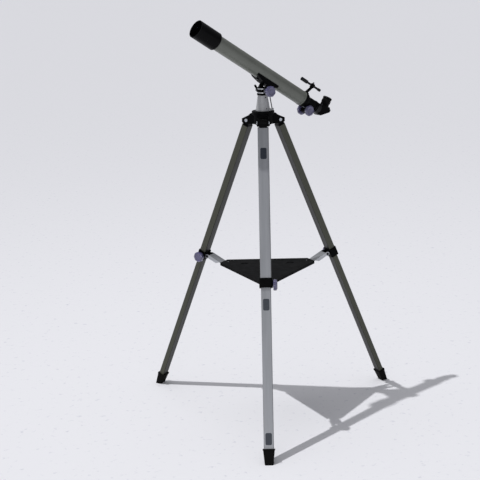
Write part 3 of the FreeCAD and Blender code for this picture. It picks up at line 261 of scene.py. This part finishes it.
finishes = {
    # injection-moulded ABS with a spark-eroded skin: soft, broken highlight.
    # The 0.3 mm grain is drawn at 1.6 mm.
    "mouldedAbs": {
        "colour": "#020203", "second": "#070708", "grainMm": [1.6] * 3, "patchMm": [30] * 3,
        "grainShare": 0.5, "roughness": (0.42, 0.6), "reliefMm": 0.05, "fixed": {"Specular IOR Level": 0.05},
    },
    # polished moulded ABS: deep black with a clear highlight and a slight ripple from the mould
    "glossAbs": {
        "colour": "#030304", "second": "#08080a", "grainMm": [6] * 3, "patchMm": [40] * 3,
        "grainShare": 0.3, "roughness": (0.24, 0.38), "reliefMm": 0.03, "fixed": {"Specular IOR Level": 0.08},
    },
    # anodised black aluminium turned on a lathe: dark metal with a satin streak
    "blackAnodised": {
        "colour": "#08080a", "second": "#121215", "grainMm": [2, 2, 2], "patchMm": [25] * 3,
        "grainShare": 0.5, "roughness": (0.25, 0.4), "reliefMm": 0.01, "fixed": {"Metallic": 0.5},
    },
    # phenolic moulding, blue-black under a polished skin, with both base colours lifted to lavender as a painted sheen
    "knobPhenolic": {
        "colour": "#3a3756", "second": "#5b587e", "grainMm": [3] * 3, "patchMm": [18] * 3,
        "grainShare": 0.4, "roughness": (0.16, 0.3), "reliefMm": 0.02,
        "fixed": {"IOR": 1.6, "Coat Weight": 0.7, "Coat Roughness": 0.08},
    },
    # sand-cast aluminium under grey lacquer: pebbled and slightly mottled
    "castLacquer": {
        "colour": "#97989a", "second": "#b4b5b7", "grainMm": [2.2] * 3, "patchMm": [14] * 3,
        "grainShare": 0.7, "roughness": (0.4, 0.55), "reliefMm": 0.12, "fixed": {"Metallic": 0.2},
    },
    # metallic enamel over drawn aluminium: flakes of 0.1 mm, drawn at 2 mm, under a clear skin
    "metallicEnamel": {
        "colour": "#5b5e57", "second": "#696c65", "grainMm": [2] * 3, "patchMm": [60] * 3,
        "grainShare": 0.9, "roughness": (0.36, 0.48), "reliefMm": 0.015,
        "fixed": {"Metallic": 0.15, "Coat Weight": 0.25, "Coat Roughness": 0.2},
    },
    # rolled aluminium sheet, bare: satin lines along the roll
    "rolledSheet": {
        "colour": "#a3a5a8", "second": "#c4c6c9", "grainMm": [1.5, 1.5, 60], "patchMm": [20, 20, 200],
        "grainShare": 0.8, "roughness": (0.28, 0.42), "reliefMm": 0.012, "fixed": {"Metallic": 0.9},
    },
    # extruded aluminium: long die lines and a brushed outer face in the metal's own grey; the side faces are painted
    # an olive-grey shade and the inner face a deeper painted shade
    "anodisedExtrusionPaintedShade": {
        "colour": "#8e9094", "second": "#a4a6ab", "grainMm": [1.6, 1.6, 160], "patchMm": [30, 30, 400],
        "grainShare": 0.8, "roughness": (0.36, 0.5), "reliefMm": 0.012, "fixed": {"Metallic": 0.5},
        # side: painted olive shade for the side faces; inside: deeper painted shade for the inner face
        "side": "#4b4c42", "inside": "#1d1d1a",
    },
    # glass-filled nylon window pads, dark blue-grey and dry
    "filledNylon": {
        "colour": "#2c3038", "second": "#3b4049", "grainMm": [1.5] * 3, "patchMm": [12] * 3,
        "grainShare": 0.6, "roughness": (0.5, 0.65), "reliefMm": 0.05, "fixed": {},
    },
    # zinc-plated steel: bright, with a faint crystal pattern
    "zincPlate": {
        "colour": "#a9adb3", "second": "#c9cdd2", "grainMm": [1.2] * 3, "patchMm": [6] * 3,
        "grainShare": 0.6, "roughness": (0.2, 0.36), "reliefMm": 0.01, "fixed": {"Metallic": 1.0},
    },
    # black oxide on steel screws
    "blackOxide": {
        "colour": "#141416", "second": "#232327", "grainMm": [1.0] * 3, "patchMm": [5] * 3,
        "grainShare": 0.6, "roughness": (0.3, 0.45), "reliefMm": 0.02, "fixed": {"Metallic": 0.7},
    },
    # the top fitting's black moulding, whose window pad has the same blue-grey skin as the other pads
    "padAbs": {
        "colour": "#2c3038", "second": "#3b4049", "grainMm": [1.5] * 3, "patchMm": [12] * 3,
        "grainShare": 0.6, "roughness": (0.45, 0.6), "reliefMm": 0.05, "fixed": {"Specular IOR Level": 0.1},
        "side": "#050506", "inside": "#050506",
    },
    # moulded rubber, dulled by dust that settles in its skin
    "footRubber": {
        "colour": "#040404", "second": "#0e0d0d", "grainMm": [2] * 3, "patchMm": [16] * 3,
        "grainShare": 0.5, "roughness": (0.66, 0.85), "reliefMm": 0.08, "fixed": {"Specular IOR Level": 0.1},
    },
    # first-surface mirror
    "frontSilver": {
        "colour": "#e6e8ea", "second": "#eeeff1", "grainMm": [4] * 3, "patchMm": [20] * 3,
        "grainShare": 0.3, "roughness": (0.02, 0.05), "reliefMm": 0.001, "fixed": {"Metallic": 1.0},
    },
}


def coatedGlass(look):
    # crown glass with a thin coating: mostly clear, with a cool sheen
    material, tree, shader = newMaterial("coatedGlass", look["fixed"])
    dust = addNode(
        tree, "ShaderNodeTexNoise", {"Scale": 1.0, "Detail": look["detail"]},
        {"Vector": patternSpace(tree, [look["dustMm"]] * 3)},
    )
    smooth, rough = look["roughness"]
    roughness = addNode(
        tree, "ShaderNodeMapRange",
        {"From Min": look["dustFrom"], "From Max": look["dustTo"], "To Min": smooth, "To Max": rough},
        {"Value": dust.outputs["Fac"]},
    )
    tree.links.new(roughness.outputs["Result"], shader.inputs["Roughness"])
    return material


glassLook = {
    "dustMm": 5.0, "detail": 4.0, "dustFrom": 0.45, "dustTo": 0.75, "roughness": (0.01, 0.08),
    "fixed": {
        "Base Color": toLinear("#d8e4ea"), "Transmission Weight": 0.9, "IOR": 1.62, "Coat Weight": 1.0,
        "Coat IOR": 1.9, "Coat Roughness": 0.05, "Coat Tint": toLinear("#dbe6ff"),
    },
}

slotFinish = {
    "black_abs": "mouldedAbs", "knob_plastic": "knobPhenolic", "black_gloss": "glossAbs",
    "black_rubber": "footRubber", "dark_insert": "filledNylon", "grey_casting": "castLacquer",
    "grey_paint": "metallicEnamel", "zinc_steel": "zincPlate", "black_steel": "blackOxide",
    "mirror": "frontSilver", "bare_aluminium": "rolledSheet",
}
nodeFinish = {"drawtube": "blackAnodised", "finder_tube": "blackAnodised", "azimuth_lever": "blackOxide"}


def pointsOf(node):
    flat = np.empty(len(node.data.vertices) * 3)
    node.data.vertices.foreach_get("co", flat)
    return flat.reshape(-1, 3)


faceLook = {"edgeMm": 2.2, "brightMm": 0.8, "insideMm": 1.2, "padBelowMm": 100.0, "padFadeMm": 1.0}


def legFace(node, number):
    # heights along the outward normal of a leg's front face, between which its colour changes: on a leg, from the
    # metal's own grey to painted shade on the side and inner faces
    along = Vector(joints["leg_%s_extend" % number]["axis"])
    normal = Vector(joints["brace_%s_fold" % number]["axis"]).cross(along).normalized()
    heights = pointsOf(node) @ np.array(normal)
    top, bottom = float(heights.max()), float(heights.min())
    return along, {
        "outer": (tuple(normal), top - faceLook["edgeMm"] * mm, top - faceLook["brightMm"] * mm),
        "inner": (tuple(normal), bottom + faceLook["insideMm"] * mm, bottom),
    }


def pickFinish(name, node, slot, made):
    number = name[-1]
    if name.startswith("top_fitting"):
        # the window pad begins a set length below the fitting's top
        along, face = legFace(nodes["upper_leg_" + number], number)
        padTop = float((pointsOf(node) @ np.array(along)).max()) - faceLook["padBelowMm"] * mm
        face["pad"] = (tuple(along), padTop, padTop - faceLook["padFadeMm"] * mm)
        return layeredFinish(name + "Finish", finishes["padAbs"], alongLine(along), face)
    # a leg: its side faces are painted darker as shade and its inner face darker still
    if slot == "leg_aluminium":
        along, face = legFace(node, number)
        return layeredFinish(name + "Finish", finishes["anodisedExtrusionPaintedShade"], alongLine(along), face)
    if slot == "bare_aluminium" and number.isdigit():
        line = Vector(joints["brace_%s_fold" % number]["axis"]).cross((0, 0, 1))
        return layeredFinish(name + "Finish", finishes["rolledSheet"], alongLine(line))
    return made[nodeFinish.get(name, slotFinish.get(slot, slot))]


def paintNodes():
    wanted = sorted(set(slotFinish.values()) | set(nodeFinish.values()))
    made = {name: layeredFinish(name, finishes[name]) for name in wanted}
    made["coated_glass"] = coatedGlass(glassLook)
    slots = {part["node"]: part["material_slot"] for part in frame["record"]["subparts"]}
    for name, node in nodes.items():
        node.data.materials.clear()
        node.data.materials.append(pickFinish(name, node, slots[name], made))
    return made


finishMade = paintNodes()
print("finishes on", len(nodes), "nodes")

# Small turned pieces that the frame doesn't hold


def turnedPiece(name, middle, axis, look, body):
    # ring point = middle + along times axis + radius times (cos and sin of the angle across the axis), where
    # radius = the profile's radius times (1 + ripple times the cosine of ribs times the angle)
    profile = np.array(look["profile"]) * mm
    axis = Vector(axis).normalized()
    across = axis.orthogonal().normalized()
    frameAxes = np.array([axis, across, axis.cross(across)])
    angles = np.linspace(0, 2 * math.pi, look["sides"], endpoint=False)
    radius = profile[:, 1:2] * (1 + look["ripple"] * np.cos(look["ribs"] * angles)[None, :])
    along = np.repeat(profile[:, 0:1], len(angles), axis=1)
    local = np.stack([along, radius * np.cos(angles), radius * np.sin(angles)], axis=2).reshape(-1, 3)
    points = np.array(middle) + local @ frameAxes
    rings, sides = len(profile), len(angles)
    ring, side = np.meshgrid(np.arange(rings), np.arange(sides), indexing="ij")
    nextRing, nextSide = (ring + 1) % rings, (side + 1) % sides
    start, after = ring * sides, nextRing * sides
    faces = np.stack([start + side, start + nextSide, after + nextSide, after + side], axis=2)
    mesh = bpy.data.meshes.new(name)
    mesh.from_pydata(points.tolist(), [], faces.reshape(-1, 4).tolist())
    mesh.polygons.foreach_set("use_smooth", [True] * len(mesh.polygons))
    solid = bmesh.new()
    solid.from_mesh(mesh)
    bmesh.ops.recalc_face_normals(solid, faces=solid.faces)
    solid.to_mesh(mesh)
    solid.free()
    mesh.materials.append(finishMade[look["finish"]])
    piece = putInScene(bpy.data.objects.new(name, mesh))
    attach(piece, body)


turnedLooks = {
    # soft rubber cup at the eye end, measured back from the eyepiece's end face
    "eyeGuard": {
        "profile": [
            (-7.5, 17.4), (-7.5, 18.9), (-5, 19.3), (-1.6, 19.4), (-0.5, 18.8), (-0.3, 17.6), (-1.2, 16.4), (-4, 16.2),
        ],
        "sides": 72, "ribs": 0, "ripple": 0.0, "finish": "footRubber", "slot": "black_rubber",
    },
    # ribbed rubber sleeve round the barrel below the cup
    "eyepieceGrip": {
        "profile": [(-25, 17.4), (-25, 18.5), (-24.2, 18.9), (-12.8, 18.9), (-12, 18.5), (-12, 17.4)],
        "sides": 240, "ribs": 40, "ripple": 0.012, "finish": "footRubber", "slot": "black_rubber",
    },
}


def addEyepieceRubber():
    axis = np.array(joints["eyepiece_slide"]["axis"])
    points = pointsOf(nodes["eyepiece"])
    heights = points @ axis
    across = points - np.outer(heights, axis)
    middle = (across.max(axis=0) + across.min(axis=0)) / 2 + heights.max() * axis
    for name, look in turnedLooks.items():
        turnedPiece(name, middle, axis, look, "eyepiece")


addEyepieceRubber()
print("turned pieces made")
